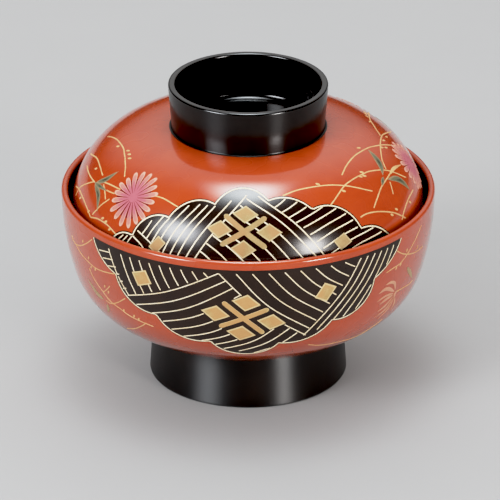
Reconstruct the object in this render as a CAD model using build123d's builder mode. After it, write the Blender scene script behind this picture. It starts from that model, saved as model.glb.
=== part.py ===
from build123d import *
from math import cos, radians, sin, sqrt
import os

# A footed soup bowl with a drop-in lid, in turned wood under coloured lacquer.
# Millimetres, +Z up. Every piece is turned about Z, and the foot stands on z = 0.

# Coats and fits
coat = 0.3                  # ground and lacquer together, on every face of the wood
seat_gap = 0.3              # between the closed lid's edge and the bowl's inside
glue_gap = 0.1              # beside each tenon
edge_share = 0.4            # most of a wall's thickness that one rounded edge may take

# Bowl, measured on the lacquer
rim_radius = 60.5
lip_thickness = 2.2
side_curve = 88.6           # radius of the side, which is upright at the lip
side_turn = 16.4            # degrees that the side leans in by where the belly begins
belly_curve = 25.2          # radius of the belly
belly_turn = 39.4           # degrees that the belly turns through
base_flat = 4.6             # radius of the level middle of the underside and of the floor
inside_side_curve = 80.0    # radius of the side's inside, so that the wall thickens downwards
floor_thickness = 4.2

# Foot
foot_height = 17.1          # from the table to the seam with the bowl's outside
foot_top_radius = 31.1
foot_bottom_radius = 32.2
foot_wall = 3.8             # at the top
foot_edge = 1.0             # rounding of the edges on the table
foot_tenon_width = 1.6
foot_tenon_depth = 1.4

# Lid
lid_drop = 11.5             # from the bowl's lip down to the lid's edge, between their middles
lid_edge_thickness = 2.0
skirt = 5.1                 # upright part above the lid's edge
shoulder_curve = 28.1       # radius of the shoulder
shoulder_turn = 76.5        # degrees that the shoulder turns through
crown_ledge = 0.9           # level vermilion between the grip's black border and the dome
crown_thickness = 3.4

# Grip ring
grip_height = 15.0
grip_base_radius = 24.7
grip_top_radius = 25.85
grip_wall = 2.4
grip_edge = 0.7             # rounding of the top edges
grip_fillet = 0.5           # round the grip's base
grip_border = 0.3           # black left on the crown outside that fillet
grip_hollow_fillet = 2.0    # where the hollow's wall meets its floor
grip_tenon_width = 0.8
grip_tenon_depth = 1.3

# The bowl's outside: where its arcs meet, and the heights of its underside and its lip
side_lean = radians(side_turn)
belly_lean = radians(side_turn + belly_turn)
base_turn = 90 - side_turn - belly_turn
belly_end_radius = (
    rim_radius - side_curve * (1 - cos(side_lean)) - belly_curve * (cos(side_lean) - cos(belly_lean))
)
base_curve = (belly_end_radius - base_flat) / cos(belly_lean)
underside_height = foot_height - base_curve + sqrt(base_curve**2 - (foot_top_radius - base_flat) ** 2)
lip_height = (
    underside_height
    + base_curve * (1 - sin(belly_lean))
    + belly_curve * (sin(belly_lean) - sin(side_lean))
    + side_curve * sin(side_lean)
)
lip_round = lip_thickness / 2
lip_middle = Vector(rim_radius - lip_round, lip_height)

# The lid's edge hangs seat_gap clear of the bowl's inside, lid_drop under the lip's middle
lid_edge_round = lid_edge_thickness / 2
lid_edge_height = lip_height - lid_drop
inside_side_middle = rim_radius - lip_thickness - inside_side_curve
edge_reach = inside_side_curve - seat_gap - lid_edge_round
lid_edge_middle = Vector(inside_side_middle + sqrt(edge_reach**2 - lid_drop**2), lid_edge_height)
lid_radius = lid_edge_middle.X + lid_edge_round

# The lid's outside: its crown arc and its level top, which carries the grip
grip_seam = grip_base_radius + grip_fillet + grip_border
crown_flat = grip_seam + crown_ledge
shoulder_lean = radians(shoulder_turn)
shoulder_end_radius = lid_radius - shoulder_curve * (1 - cos(shoulder_lean))
crown_curve = (shoulder_end_radius - crown_flat) / cos(shoulder_lean)
crown_height = (
    lid_edge_height + skirt + shoulder_curve * sin(shoulder_lean) + crown_curve * (1 - sin(shoulder_lean))
)
crown_wood = crown_height - coat
grip_top = crown_height + grip_height


def closing_curves(across, along, first_lean, last_lean):
    """Radii of two arcs that run on from one another, go from one lean to the other to level,
    and cover a given distance across and along the axis."""
    first_across = cos(first_lean) - cos(last_lean)
    first_along = sin(last_lean) - sin(first_lean)
    second_across = cos(last_lean)
    second_along = 1 - sin(last_lean)
    scale = first_across * second_along - second_across * first_along
    first = (across * second_along - second_across * along) / scale
    second = (first_across * along - first_along * across) / scale
    return first, second


def turned_line(edge, straight, curves, way, inset):
    """Draw a line from an edge to the axis and give its end: an upright straight, arcs that run on
    from one another, and a level middle. An inset moves it parallel to itself, towards the axis."""
    point = Vector(edge.X - inset, edge.Y)
    heading = Vector(0, way)
    if straight > 0:
        upright = Line(point, point + heading * straight)
        point = upright @ 1
    for radius, turn in curves:
        arc = JernArc(point, heading, radius - inset, way * turn)
        point = arc @ 1
        heading = arc % 1
    middle = Line(point, (0, point.Y))
    return middle @ 1


def bowl_outside(inset):
    """The bowl's outer line, from the lip down to the axis."""
    edge = Vector(rim_radius, lip_height)
    curves = [(side_curve, side_turn), (belly_curve, belly_turn), (base_curve, base_turn)]
    return turned_line(edge, 0, curves, -1, inset)


def bowl_inside(inset):
    """The bowl's inner line, whose floor lies floor_thickness over the underside."""
    edge = Vector(rim_radius - lip_thickness, lip_height)
    across = edge.X - inside_side_curve * (1 - cos(side_lean)) - base_flat
    along = lip_height - inside_side_curve * sin(side_lean) - underside_height - floor_thickness
    belly, base = closing_curves(across, along, side_lean, belly_lean)
    curves = [(inside_side_curve, side_turn), (belly, belly_turn), (base, base_turn)]
    return turned_line(edge, 0, curves, -1, inset)


def lid_outside(inset):
    """The lid's outer line, from its edge up to the axis."""
    edge = Vector(lid_radius, lid_edge_height)
    curves = [(shoulder_curve, shoulder_turn), (crown_curve, 90 - shoulder_turn)]
    return turned_line(edge, skirt, curves, 1, inset)


def lid_inside(inset):
    """The lid's inner line, whose top lies crown_thickness under the crown."""
    edge = Vector(lid_radius - lid_edge_thickness, lid_edge_height)
    along = crown_height - crown_thickness - lid_edge_height - skirt
    shoulder, crown = closing_curves(edge.X - crown_flat, along, 0, shoulder_lean)
    curves = [(shoulder, shoulder_turn), (crown, 90 - shoulder_turn)]
    return turned_line(edge, skirt, curves, 1, inset)


def underside(radius, inset):
    """Height of the bowl's underside at a radius on its base arc."""
    return underside_height + base_curve - sqrt((base_curve - inset) ** 2 - (radius - base_flat) ** 2)


def underside_arc(start, end, inset):
    """Draw the base arc between two radii."""
    radii = (start, (start + end) / 2, end)
    ThreePointArc(*[(radius, underside(radius, inset)) for radius in radii])


def grip_side(height):
    """Radius of the grip's flared outside at a height."""
    flare = (grip_top_radius - grip_base_radius) / grip_height
    return grip_base_radius + flare * (height - crown_height)


# Foot: faces of the wood, and the tenon in the middle of its wall
foot_inner = foot_top_radius - foot_wall
foot_round = min(foot_edge, edge_share * (foot_bottom_radius - foot_inner))
foot_wood_inner = foot_inner + coat
foot_wood_top = foot_top_radius - coat
foot_wood_bottom = foot_bottom_radius - coat
foot_tenon_middle = foot_top_radius - foot_wall / 2
foot_tenon_inner = foot_tenon_middle - foot_tenon_width / 2
foot_tenon_outer = foot_tenon_middle + foot_tenon_width / 2
foot_tenon_top = underside(foot_tenon_outer, coat) + foot_tenon_depth

# Grip: faces of the wood, and the tenon in the middle of its wall
grip_round = min(grip_edge, edge_share * grip_wall)
grip_wood_outer = grip_side(crown_wood) - coat
grip_wood_inner = grip_side(crown_wood) - grip_wall + coat
grip_wood_top = grip_top - coat
grip_tenon_middle = grip_base_radius - grip_wall / 2
grip_tenon_inner = grip_tenon_middle - grip_tenon_width / 2
grip_tenon_outer = grip_tenon_middle + grip_tenon_width / 2
grip_tenon_bottom = crown_wood - grip_tenon_depth

# Bowl core: the turned wood, with a groove under it for the foot
with BuildPart() as bowl_core:
    with BuildSketch(Plane.XZ):
        with BuildLine():
            low = bowl_outside(coat)
            high = bowl_inside(-coat)
            Line(low, high)
            CenterArc(lip_middle, lip_round - coat, 0, 180)
        make_face()
    revolve(axis=Axis.Z)
    with BuildSketch(Plane.XY.offset(foot_tenon_top)):
        Circle(foot_tenon_outer + glue_gap)
        Circle(foot_tenon_inner - glue_gap, mode=Mode.SUBTRACT)
    extrude(amount=-foot_tenon_top, mode=Mode.SUBTRACT)

# Foot ring: flared outside, upright inside, shoulders shaped to the underside
with BuildPart() as foot_ring:
    with BuildSketch(Plane.XZ) as foot_section:
        with BuildLine():
            underside_arc(foot_wood_top, foot_tenon_outer, coat)
            Polyline(
                (foot_tenon_outer, underside(foot_tenon_outer, coat)),
                (foot_tenon_outer, foot_tenon_top),
                (foot_tenon_inner, foot_tenon_top),
                (foot_tenon_inner, underside(foot_tenon_inner, coat)),
            )
            underside_arc(foot_tenon_inner, foot_wood_inner, coat)
            Polyline(
                (foot_wood_inner, underside(foot_wood_inner, coat)),
                (foot_wood_inner, coat),
                (foot_wood_bottom, coat),
                (foot_wood_top, foot_height),
                (foot_wood_top, underside(foot_wood_top, coat)),
            )
        make_face()
        fillet(foot_section.vertices().group_by(Axis.Y)[0], foot_round - coat)
    revolve(axis=Axis.Z)

# Vermilion on the bowl's outside, from the foot's seam up and over the lip
with BuildPart() as bowl_outside_lacquer:
    with BuildSketch(Plane.XZ):
        with BuildLine():
            face = bowl_outside(0)
            wood = bowl_outside(coat)
            Line(face, wood)
            over_lip = CenterArc(lip_middle, lip_round, 0, 180)
            wood_lip = CenterArc(lip_middle, lip_round - coat, 0, 180)
            Line(over_lip @ 1, wood_lip @ 1)
        make_face()
        Rectangle(foot_top_radius, lip_height, align=Align.MIN, mode=Mode.SUBTRACT)
    revolve(axis=Axis.Z)

# Black inside the bowl, up to the lip
with BuildPart() as bowl_inside_lacquer:
    with BuildSketch(Plane.XZ):
        with BuildLine():
            face = bowl_inside(0)
            wood = bowl_inside(-coat)
            Line(face, wood)
            Line((rim_radius - lip_thickness, lip_height), (rim_radius - lip_thickness + coat, lip_height))
        make_face()
    revolve(axis=Axis.Z)

# Black round the foot, and on the underside inside it
with BuildPart() as foot_lacquer:
    with BuildSketch(Plane.XZ) as foot_coat_section:
        with BuildLine():
            underside_arc(foot_top_radius, foot_wood_top, coat)
            Polyline(
                (foot_top_radius, underside(foot_top_radius, coat)),
                (foot_top_radius, foot_height),
                (foot_bottom_radius, 0),
                (foot_inner, 0),
                (foot_inner, underside(foot_inner, 0)),
            )
            underside_arc(foot_inner, base_flat, 0)
            Polyline(
                (base_flat, underside_height),
                (0, underside_height),
                (0, underside_height + coat),
                (base_flat, underside_height + coat),
            )
            underside_arc(base_flat, foot_wood_inner, coat)
            Polyline(
                (foot_wood_inner, underside(foot_wood_inner, coat)),
                (foot_wood_inner, coat),
                (foot_wood_bottom, coat),
                (foot_wood_top, foot_height),
                (foot_wood_top, underside(foot_wood_top, coat)),
            )
        make_face()
        fillet(foot_coat_section.vertices().group_by(Axis.Y)[1], foot_round - coat)
        fillet(foot_coat_section.vertices().group_by(Axis.Y)[0], foot_round)
    revolve(axis=Axis.Z)

# Lid core: the turned wood, with a groove on its crown for the grip
with BuildPart() as lid_core:
    with BuildSketch(Plane.XZ):
        with BuildLine():
            high = lid_outside(coat)
            low = lid_inside(-coat)
            Line(low, high)
            CenterArc(lid_edge_middle, lid_edge_round - coat, 180, 180)
        make_face()
    revolve(axis=Axis.Z)
    with BuildSketch(Plane.XY.offset(grip_tenon_bottom)):
        Circle(grip_tenon_outer + glue_gap)
        Circle(grip_tenon_inner - glue_gap, mode=Mode.SUBTRACT)
    extrude(amount=grip_height, mode=Mode.SUBTRACT)

# Grip ring: flared, on a level shoulder with a tenon below it
with BuildPart() as grip_ring:
    with BuildSketch(Plane.XZ):
        with BuildLine():
            FilletPolyline(
                (grip_wood_outer, crown_wood),
                (grip_top_radius - coat, grip_wood_top),
                (grip_top_radius - grip_wall + coat, grip_wood_top),
                (grip_wood_inner, crown_wood),
                (grip_tenon_inner, crown_wood),
                (grip_tenon_inner, grip_tenon_bottom),
                (grip_tenon_outer, grip_tenon_bottom),
                (grip_tenon_outer, crown_wood),
                radius=[0, grip_round - coat, grip_round - coat, 0, 0, 0, 0, 0],
                close=True,
            )
        make_face()
    revolve(axis=Axis.Z)

# Vermilion on the lid, from its edge up to the black round the grip
with BuildPart() as lid_outside_lacquer:
    with BuildSketch(Plane.XZ):
        with BuildLine():
            face = lid_outside(0)
            wood = lid_outside(coat)
            Line(face, wood)
            under_edge = CenterArc(lid_edge_middle, lid_edge_round, 180, 180)
            wood_edge = CenterArc(lid_edge_middle, lid_edge_round - coat, 180, 180)
            Line(under_edge @ 0, wood_edge @ 0)
        make_face()
        Rectangle(grip_seam, grip_top, align=Align.MIN, mode=Mode.SUBTRACT)
    revolve(axis=Axis.Z)

# Black under the lid
with BuildPart() as lid_inside_lacquer:
    with BuildSketch(Plane.XZ):
        with BuildLine():
            face = lid_inside(0)
            wood = lid_inside(-coat)
            Line(face, wood)
            inner_edge = lid_radius - lid_edge_thickness
            Line((inner_edge, lid_edge_height), (inner_edge + coat, lid_edge_height))
        make_face()
    revolve(axis=Axis.Z)

# Black over the grip ring, its border on the crown and the floor of its hollow
with BuildPart() as grip_lacquer:
    with BuildSketch(Plane.XZ):
        with BuildLine():
            FilletPolyline(
                (grip_seam, crown_wood),
                (grip_seam, crown_height),
                (grip_base_radius, crown_height),
                (grip_top_radius, grip_top),
                (grip_top_radius - grip_wall, grip_top),
                (grip_base_radius - grip_wall, crown_height),
                (0, crown_height),
                (0, crown_wood),
                (grip_wood_inner, crown_wood),
                (grip_top_radius - grip_wall + coat, grip_wood_top),
                (grip_top_radius - coat, grip_wood_top),
                (grip_wood_outer, crown_wood),
                radius=[
                    0,
                    0,
                    grip_fillet,
                    grip_round,
                    grip_round,
                    grip_hollow_fillet,
                    0,
                    0,
                    0,
                    grip_round - coat,
                    grip_round - coat,
                    0,
                ],
                close=True,
            )
        make_face()
    revolve(axis=Axis.Z)

pieces = {
    "bowl_core": bowl_core,
    "foot_ring": foot_ring,
    "bowl_outside_lacquer": bowl_outside_lacquer,
    "bowl_inside_lacquer": bowl_inside_lacquer,
    "foot_lacquer": foot_lacquer,
    "lid_core": lid_core,
    "grip_ring": grip_ring,
    "lid_outside_lacquer": lid_outside_lacquer,
    "lid_inside_lacquer": lid_inside_lacquer,
    "grip_lacquer": grip_lacquer,
}
os.makedirs("parts", exist_ok=True)
for name, piece in pieces.items():
    piece.part.label = name
    export_step(piece.part, f"parts/{name}.step")

print(f"lip {lip_height + lip_round:.2f}, lid radius {lid_radius:.2f}")
print(f"crown {crown_height:.2f}, top {grip_top:.2f}")
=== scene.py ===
import math

import bmesh
import bpy
import numpy as np
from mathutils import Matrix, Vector


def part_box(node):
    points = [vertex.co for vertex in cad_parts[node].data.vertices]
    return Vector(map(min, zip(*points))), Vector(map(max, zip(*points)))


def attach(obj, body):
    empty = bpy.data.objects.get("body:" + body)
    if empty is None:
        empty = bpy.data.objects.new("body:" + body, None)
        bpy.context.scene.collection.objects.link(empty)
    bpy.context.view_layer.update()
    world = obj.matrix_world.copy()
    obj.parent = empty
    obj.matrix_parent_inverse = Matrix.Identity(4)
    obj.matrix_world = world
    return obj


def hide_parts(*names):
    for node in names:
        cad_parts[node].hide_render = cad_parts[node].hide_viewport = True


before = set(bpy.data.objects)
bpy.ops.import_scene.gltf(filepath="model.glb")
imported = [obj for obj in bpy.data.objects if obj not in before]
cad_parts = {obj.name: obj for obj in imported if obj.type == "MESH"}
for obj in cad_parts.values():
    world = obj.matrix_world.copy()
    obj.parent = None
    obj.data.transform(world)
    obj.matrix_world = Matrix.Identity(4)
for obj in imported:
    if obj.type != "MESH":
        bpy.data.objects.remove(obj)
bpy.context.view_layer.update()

mm = 0.001
print("frame loaded:", len(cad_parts), "solids")


class Look(dict):
    # A dictionary of values to change, each also read as look.name
    __getattr__ = dict.__getitem__


# Shader sockets and materials

class Wire:
    # A shader socket; its operators add Math nodes.
    def __init__(self, finish, socket):
        self.finish = finish
        self.socket = socket

    def calc(self, operation, first, second):
        return self.finish.node("Math", {"operation": operation}, {0: first, 1: second})

    def __add__(self, other):
        return self.calc("ADD", self, other)

    __radd__ = __add__

    def __sub__(self, other):
        return self.calc("SUBTRACT", self, other)

    def __rsub__(self, other):
        return self.calc("SUBTRACT", other, self)

    def __mul__(self, other):
        return self.calc("MULTIPLY", self, other)

    __rmul__ = __mul__


class Finish:
    # A material or light being built; node() adds a node by its kind, settings and sockets.
    def __init__(self, name, light=None):
        self.material = light or bpy.data.materials.new(name)
        self.material.use_nodes = True
        self.tree = self.material.node_tree
        self.tree.nodes.clear()

    def node(self, kind, settings=None, sockets=None, out=0):
        node = self.tree.nodes.new("ShaderNode" + kind)
        for key, value in (settings or {}).items():
            setattr(node, key, value)
        for key, value in (sockets or {}).items():
            if isinstance(value, Wire):
                self.tree.links.new(value.socket, node.inputs[key])
            else:
                node.inputs[key].default_value = value
        return Wire(self, node.outputs[out]) if node.outputs else None

    def place(self):
        return self.node("TexCoord", out="Object")

    def noise(self, size, detail=3.0, roughness=0.5, stretch=(1, 1, 1)):
        # Noise whose lumps are about size mm across, stretched along the object's axes
        place = self.node("Mapping", None, {"Vector": self.place(), "Scale": stretch})
        sockets = {"Vector": place, "Scale": 1 / (size * mm), "Detail": detail, "Roughness": roughness}
        return self.node("TexNoise", None, sockets)

    def span(self, *axes):
        # Distance in mm from the origin along the axes that are 1; (1, 1, 0) measures from the turning axis
        scale = tuple(axis / mm for axis in axes)
        part = self.node("Mapping", None, {"Vector": self.place(), "Scale": scale})
        return self.node("VectorMath", {"operation": "LENGTH"}, {0: part}, out="Value")

    def tag(self, name):
        return self.node("Attribute", {"attribute_name": name}, out="Fac")

    def ease(self, value, low, high):
        # 0 below low, 1 above high, smooth between
        return self.node("MapRange", {"interpolation_type": "SMOOTHSTEP"}, {0: value, 1: low, 2: high})

    def mix(self, first, second, share):
        return self.node("Mix", {"data_type": "RGBA"}, {0: share, 6: first, 7: second}, out=2)

    def bump(self, height, depth):
        # A height of 0 to 1 stands for 0 to depth mm
        sockets = {"Strength": 1.0, "Distance": depth * mm, "Height": height}
        return self.node("Bump", None, sockets)

    def surface(self, colour, roughness, normal, sockets=None):
        sockets = {"Base Color": colour, "Roughness": roughness, "Normal": normal, **(sockets or {})}
        shader = self.node("BsdfPrincipled", None, sockets)
        self.node("OutputMaterial", None, {"Surface": shader})
        return self.material

    def grainy(self, look, colour, grains, sockets=None):
        # A surface whose roughness and height follow its grains
        rough = look.roughness + look.scatter * grains
        return self.surface(colour, rough, self.bump(grains, look.depth), sockets)


def paint(red, green, blue):
    # A colour as it is seen, 0 to 255, turned into the linear values that shaders take
    seen = np.array([red, green, blue]) / 255
    linear = np.where(seen > 0.04045, ((seen + 0.055) / 1.055) ** 2.4, seen / 12.92)
    return (*linear.tolist(), 1.0)


# In a look, rub and scatter are roughness that wear or grains add, peel and depth are heights in mm, and
# sockets holds other constants of the shader

vermilionLook = Look(
    deep=paint(146, 54, 23), pale=paint(156, 62, 28), roughness=0.24, rub=0.06,
    peel=0.002,  # the slow swell of hand-laid lacquer
    sockets={"Specular IOR Level": 0.22, "Coat Weight": 1.0, "Coat Roughness": 0.06},
)


def vermilionLacquer():
    look = vermilionLook
    f = Finish("vermilion lacquer")
    cloudy = 0.6 * f.noise(14, 2) + 0.4 * f.noise(6, 1, 0.5, (1, 1, 3))
    colour = f.mix(look.deep, look.pale, f.ease(cloudy, 0.2, 0.8))
    rubbed = look.roughness + look.rub * f.ease(f.noise(9, 1), 0.3, 0.7)
    return f.surface(colour, rubbed, f.bump(f.noise(7, 0), look.peel), look.sockets)


blackLook = Look(
    colour=paint(8, 6, 5), brown=paint(18, 13, 10), rub=0.04,
    smooth=0.1,  # roughness where there are no turning marks
    hollowBlend=0.4,  # mm to each side over which the marks begin
    lipBlend=0.2, peel=0.002,
    sockets={"Anisotropic Rotation": 0.25, "Coat Roughness": 0.15},
)


def blackLacquer(name, roughness, shine, turned=0.0, coat=0.0, hollow=None, lip=None):
    # Turning marks draw the shine into upright bands; inside the hollow's radius and above the lip's
    # height the lacquer is smooth
    look = blackLook
    f = Finish(name)
    cloudy = f.ease(f.noise(11, 4, 0.6), 0.35, 0.7)
    marked = roughness + look.rub * f.ease(f.noise(1.3, 4, 0.6, (1, 1, 3)), 0.45, 0.75)
    if hollow:
        outside = f.ease(f.span(1, 1, 0), hollow - look.hollowBlend, hollow + look.hollowBlend)
        marked = look.smooth + (marked - look.smooth) * outside
    if lip:
        polished = f.ease(f.span(0, 0, 1), lip - look.lipBlend, lip + look.lipBlend)
        marked = marked - (marked - look.smooth) * polished
        coat = coat + (1 - coat) * polished
    colour = f.mix(look.colour, look.brown, cloudy)
    sockets = {"Specular IOR Level": shine, "Anisotropic": turned, "Coat Weight": coat, **look.sockets}
    return f.surface(colour, marked, f.bump(f.noise(3, 2), look.peel), sockets)


panelLook = Look(
    colour=paint(26, 11, 3), bloom=paint(38, 20, 9), scatter=0.1, depth=0.008, coatRoughness=0.21,
)


def panelBlack(name, roughness, shine, coat):
    look = panelLook
    f = Finish(name)
    bloom = 0.6 * f.ease(f.noise(9, 5, 0.6), 0.4, 0.75)
    grain = f.noise(0.45, 3, 0.7)
    colour = f.mix(look.colour, look.bloom, bloom)
    rough = roughness + look.scatter * f.ease(grain, 0.3, 0.7)
    sockets = {"Specular IOR Level": shine, "Coat Weight": coat, "Coat Roughness": look.coatRoughness}
    return f.surface(colour, rough, f.bump(grain, look.depth), sockets)


goldLook = Look(
    line=(paint(229, 215, 186), paint(212, 184, 138)),
    grass=(paint(202, 163, 114), paint(187, 131, 82)),
    faded=(paint(189, 144, 115), paint(178, 120, 96)),
    fadedGreen=(paint(156, 136, 102), paint(144, 118, 86)),
    leaf=paint(166, 141, 97), leafDeep=paint(146, 118, 73),
    leafWarm=paint(164, 122, 78), leafEdge=paint(184, 164, 124),
    leafMetal=0.15, grainMetal=0.3,  # how metallic the leaf and the brightest grains are
    powderGrains=Look(roughness=0.42, scatter=0.2, depth=0.012),
    leafGrains=Look(roughness=0.45, scatter=0.2, depth=0.015),
)


def goldPowder(name, colours):
    # Sprinkled gold powder: fine grains, part metal and part the binder's cream
    look = goldLook
    f = Finish(name)
    grains = f.noise(0.16, 2, 0.7)
    worn = f.ease(f.noise(3, 4, 0.6), 0.35, 0.7)
    colour = f.mix(*look[colours], 0.55 * worn + 0.25 * grains)
    return f.grainy(look.powderGrains, colour, grains, {"Metallic": look.grainMetal * grains})


def goldLeaf(name, paintedLight):
    # Squares of leaf: grainy tan gold, warmer here and there, with a paler edge; the whole colour is then
    # scaled up or down, as painted light on the bowl's copy and painted shade on the lid's
    look = goldLook
    f = Finish(name)
    grains = f.noise(0.3, 3, 0.75)
    patches = f.ease(f.noise(2.4, 4, 0.6), 0.35, 0.7)
    body = f.mix(look.leaf, look.leafDeep, 0.5 * patches + 0.5 * f.ease(grains, 0.35, 0.7))
    body = f.mix(body, look.leafWarm, 0.75 * f.ease(f.noise(9, 1), 0.42, 0.58))
    body = f.mix(body, look.leafEdge, 0.8 * f.ease(f.tag("edge"), 0.8, 0.86))
    # Painted light and shade: the colour scaled by a factor that stands in for how the light falls on this
    # copy
    colour = f.node("VectorMath", {"operation": "SCALE"}, {0: body, "Scale": paintedLight})
    metal = look.leafMetal + look.grainMetal * grains
    return f.grainy(look.leafGrains, colour, grains, {"Metallic": metal})


petalLook = Look(
    root=paint(158, 89, 97), tip=paint(168, 112, 101),
    edge=paint(195, 146, 126), ground=paint(104, 29, 29),
    roughness=0.36, scatter=0.14, depth=0.01, sockets={"Specular IOR Level": 0.1},
)


def petalPaint():
    # From root to tip along the petal, paler at its edge; along is below 0 on the dark ground
    look = petalLook
    f = Finish("petal paint")
    streaks = f.noise(0.7, 4, 0.6)
    along = f.tag("along")
    body = f.mix(look.root, look.tip, f.ease(along, 0.3, 1.0))
    edge = f.ease(f.tag("edge"), 0.62, 0.86) * f.ease(along, 0.2, 0.6)
    body = f.mix(body, look.edge, 0.85 * edge)
    body = f.mix(body, look.root, 0.3 * f.ease(streaks, 0.45, 0.7))
    colour = f.mix(look.ground, body, f.ease(along, -0.6, -0.2))
    return f.grainy(look, colour, streaks, look.sockets)


leafLook = Look(
    green=paint(96, 93, 73), dark=paint(55, 55, 42), edge=paint(137, 115, 86),
    roughness=0.38, scatter=0.15, depth=0.01, sockets={"Specular IOR Level": 0.15},
)


def leafPaint():
    look = leafLook
    f = Finish("leaf paint")
    streaks = f.noise(0.8, 4, 0.6)
    body = f.mix(look.dark, look.green, f.ease(f.tag("edge") + 0.5 * streaks, 0.35, 0.75))
    colour = f.mix(body, look.edge, 0.8 * f.ease(f.tag("edge"), 0.7, 0.9))
    return f.grainy(look, colour, streaks, look.sockets)


woodLook = Look(
    pale=paint(196, 160, 112), dark=paint(150, 108, 66), roughness=0.55, scatter=0.2, depth=0.03,
    rings={"Scale": 95.0, "Distortion": 5.0, "Detail": 3.0, "Detail Scale": 1.4},
)


def turnedWood():
    # Growth rings along X cut by the turning, with fine pores
    look = woodLook
    f = Finish("turned wood")
    rings = f.node("TexWave", None, {"Vector": f.place(), **look.rings}, out="Fac")
    pores = f.noise(0.6, 4, 0.6, (1, 1, 0.08))
    dark = 0.55 * rings + 0.3 * pores + 0.15 * f.noise(30, 2)
    return f.grainy(look, f.mix(look.pale, look.dark, dark), pores)


finishes = {
    "vermilion": vermilionLacquer(),
    "black": blackLacquer("black lacquer", roughness=0.12, shine=0.22),
    "gripBlack": blackLacquer("black lacquer on the grip", roughness=0.42, shine=0.2, turned=0.97,
                              coat=0.5, hollow=24.4, lip=100.4),
    "footBlack": blackLacquer("black lacquer on the foot", roughness=0.42, shine=0.78, turned=0.97),
    "lidPanel": panelBlack("cloud panel on the lid", roughness=0.24, shine=0.12, coat=1.0),
    "bowlPanel": panelBlack("cloud panel on the bowl", roughness=0.27, shine=0.5, coat=0.0),
    "line": goldPowder("gold line", "line"),
    "grass": goldPowder("gold grass", "grass"),
    "faded": goldPowder("faded gold", "faded"),
    "fadedGreen": goldPowder("faded green", "fadedGreen"),
    # One leaf in two copies: the lid's painted darker as painted shade, the bowl's painted lighter as
    # painted light
    "lidLeafGold": goldLeaf("gold leaf on the lid with painted shade", paintedLight=0.92),
    "bowlLeafGold": goldLeaf("gold leaf on the bowl with painted light", paintedLight=1.3),
    "petal": petalPaint(),
    "leaf": leafPaint(),
    "wood": turnedWood(),
}
print("materials:", len(finishes))


# Turned pieces

def inScene(name, data):
    item = bpy.data.objects.new(name, data)
    bpy.context.scene.collection.objects.link(item)
    return item


def putPiece(name, points, faces, finish, body, tags=None, sharp=38):
    # Points in mm and faces become one mesh at the origin, its doubles merged and its faces outward
    mesh = bpy.data.meshes.new(name)
    mesh.from_pydata((points * mm).tolist(), [], faces)
    for tagName, values in (tags or {}).items():
        mesh.attributes.new(tagName, "FLOAT", "POINT").data.foreach_set("value", values.astype(np.float32))
    work = bmesh.new()
    work.from_mesh(mesh)
    bmesh.ops.remove_doubles(work, verts=work.verts, dist=1e-7)
    bmesh.ops.recalc_face_normals(work, faces=work.faces)
    work.to_mesh(mesh)
    work.free()
    mesh.polygons.foreach_set("use_smooth", np.ones(len(mesh.polygons), bool))
    mesh.set_sharp_from_angle(angle=math.radians(sharp))
    mesh.materials.append(finishes[finish])
    piece = inScene(name, mesh)
    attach(piece, body)
    return piece


def turnedLine(start, heading, runs, side=1):
    # A line in the (radius, height) plane. Each run is (length, turn in degrees), and its heading turns
    # evenly, so a place is the run's start plus the integral of (cos, sin) of the heading.
    # The normal is a quarter turn from the heading, to the left for side 1 and to the right for -1.
    lengths = np.array([length for length, turn in runs])
    turns = np.radians([turn for length, turn in runs])
    ends = np.concatenate([[0], np.cumsum(lengths)])
    headings = math.radians(heading) + np.concatenate([[0], np.cumsum(turns)])

    def step(run, along):
        rate = turns[run] / lengths[run]
        first = headings[run]
        last = first + rate * along
        bent = np.abs(rate) > 1e-9
        safe = np.where(bent, rate, 1)
        across = np.where(bent, (np.sin(last) - np.sin(first)) / safe, along * np.cos(first))
        up = np.where(bent, (np.cos(first) - np.cos(last)) / safe, along * np.sin(first))
        return across, up, last

    across, up, last = step(np.arange(len(runs)), lengths)
    radii = start[0] + np.concatenate([[0], np.cumsum(across)])
    heights = start[1] + np.concatenate([[0], np.cumsum(up)])

    def at(along):
        along = np.asarray(along, float)
        run = np.clip(np.searchsorted(ends, along, side="right") - 1, 0, len(runs) - 1)
        across, up, last = step(run, along - ends[run])
        return radii[run] + across, heights[run] + up, -side * np.sin(last), side * np.cos(last)

    return at


def stations(runs, step, near=0.12):
    # Lengths at which a line is sampled: even steps along each run, and one close to each of its ends
    marks = []
    start = 0.0
    for length, turn in runs:
        count = int(max(2, math.ceil(abs(turn) / 5), math.ceil(length / step)))
        inset = min(near, length / 4)
        even = np.linspace(0, length, count + 1)
        marks.append(start + np.concatenate([even, [inset, length - inset]]))
        start += length
    return np.unique(np.concatenate(marks).round(5))


def filletRuns(corners, rounds):
    # Straights between corners, each inner corner rounded: a straight loses radius * tan(half the turn)
    corners = np.array(corners, float)
    legs = np.diff(corners, axis=0)
    lengths = np.hypot(legs[:, 0], legs[:, 1])
    angles = np.degrees(np.arctan2(legs[:, 1], legs[:, 0]))
    turns = (np.diff(angles) + 180) % 360 - 180
    cuts = np.concatenate([[0], np.array(rounds) * np.tan(np.radians(np.abs(turns)) / 2), [0]])
    runs = []
    for leg in range(len(legs)):
        runs.append((lengths[leg] - cuts[leg] - cuts[leg + 1], 0.0))
        if leg < len(turns):
            runs.append((rounds[leg] * math.radians(abs(turns[leg])), turns[leg]))
    return angles[0], runs


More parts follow.
